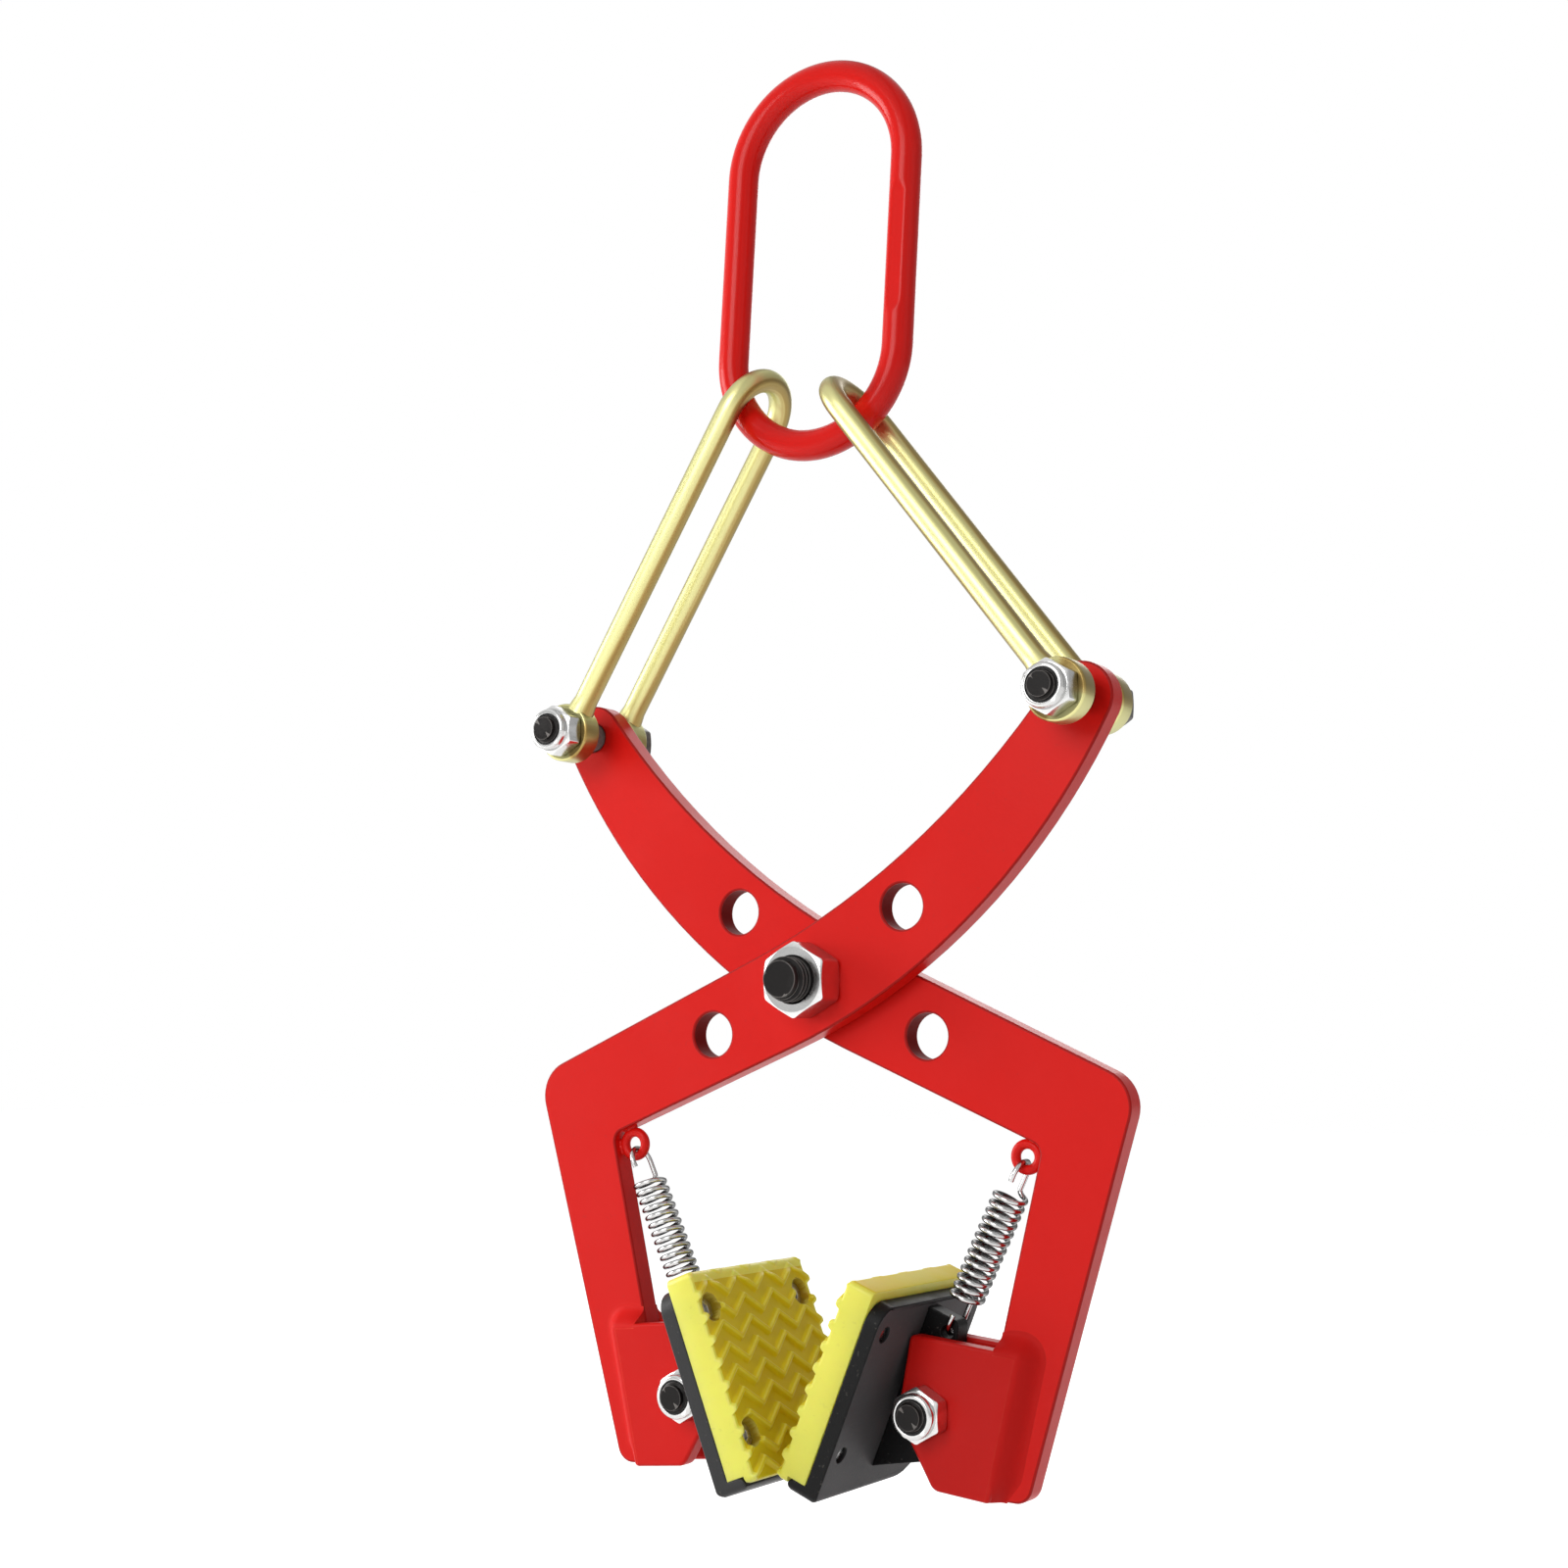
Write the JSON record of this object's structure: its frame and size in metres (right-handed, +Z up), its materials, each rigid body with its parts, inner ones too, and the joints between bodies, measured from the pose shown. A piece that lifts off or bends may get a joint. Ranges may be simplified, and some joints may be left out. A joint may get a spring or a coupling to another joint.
{
  "type": "stone lifting clamp",
  "caption": "Scissor lifting clamp with crossed arms, shackles and a master link; ribbed tilting pads grip a stone block by its sides.",
  "frame": {"origin": "the hook seat: the middle of the inside of the master link's crown, where the crane hook bears", "axes": "+Z up, along the pull of the hook; +X to the right, in the plane in which the arms open; +Y to the rear, along the pivot bolt from its nut to its head"},
  "size_m": [0.2678, 0.0944, 0.5882],
  "materials": {
    "link": "gloss red powder coat",
    "shackle": "yellow zinc plated",
    "arm": "satin red powder coat",
    "cheek": "satin red powder coat",
    "zinc": "bright zinc plated",
    "black_steel": "black oxide",
    "holder": "matt black paint",
    "pad": "satin yellow polyurethane",
    "spring": "bright steel wire",
    "screw": "zinc plated"
  },
  "bodies": {
    "master_link": {"master_link": "link"},
    "right_shackle": {"right_shackle": "shackle", "right_bosses": "shackle", "right_upper_bolt": "black_steel", "right_upper_nut": "zinc"},
    "front_arm": {"front_arm": "arm", "pivot_bolt": "black_steel", "pivot_nut": "zinc", "left_cheek_front": "cheek", "left_cheek_rear": "cheek", "left_spring_eye": "arm", "left_jaw_bolt": "black_steel", "left_jaw_nut": "zinc", "left_spring": "spring"},
    "rear_arm": {"rear_arm": "arm", "right_cheek_front": "cheek", "right_cheek_rear": "cheek", "right_spring_eye": "arm", "right_jaw_bolt": "black_steel", "right_jaw_nut": "zinc", "right_spring": "spring"},
    "left_shackle": {"left_shackle": "shackle", "left_bosses": "shackle", "left_upper_bolt": "black_steel", "left_upper_nut": "zinc"},
    "left_pad": {"left_holder": "holder", "left_lug": "holder", "left_pad": "pad", "left_pad_screws": "screw"},
    "right_pad": {"right_holder": "holder", "right_lug": "holder", "right_pad": "pad", "right_pad_screws": "screw"}
  },
  "joints": [
    {"name": "right_bow_hinge", "type": "hinge", "parent": "master_link", "child": "right_shackle", "pos_m": [0.01881, 0, -0.14381], "axis": [0, -1, 0], "range_deg": [0, 10.41]},
    {"name": "right_upper_hinge", "type": "hinge", "parent": "right_shackle", "child": "front_arm", "pos_m": [0.11661, -0.0012, -0.26838], "axis": [0, 1, 0], "range_deg": [0, 25.41]},
    {"name": "pivot_hinge", "type": "hinge", "parent": "front_arm", "child": "rear_arm", "pos_m": [-0.00189, 0.004, -0.37588], "axis": [0, -1, 0], "range_deg": [0, 30]},
    {"name": "left_upper_hinge", "type": "hinge", "parent": "rear_arm", "child": "left_shackle", "pos_m": [-0.12039, 0.0092, -0.26838], "axis": [0, 1, 0], "range_deg": [0, 29.83]},
    {"name": "left_pad_hinge", "type": "hinge", "parent": "front_arm", "child": "left_pad", "pos_m": [-0.05289, -0.0012, -0.54238], "axis": [0, 1, 0], "range_deg": [0, 30], "stiffness_Nm_per_rad": 2.5, "springref_deg": -8.59, "deforming": ["left_spring"]},
    {"name": "right_pad_hinge", "type": "hinge", "parent": "rear_arm", "child": "right_pad", "pos_m": [0.04911, 0.0092, -0.54238], "axis": [0, -1, 0], "range_deg": [0, 30], "stiffness_Nm_per_rad": 2.5, "springref_deg": -8.59, "deforming": ["right_spring"]}
  ],
  "couplings": [
    {"joint": "right_bow_hinge", "follows": "pivot_hinge", "ratio": 0.3453},
    {"joint": "right_upper_hinge", "follows": "pivot_hinge", "ratio": 0.8453},
    {"joint": "left_upper_hinge", "follows": "pivot_hinge", "ratio": 0.9927}
  ]
}
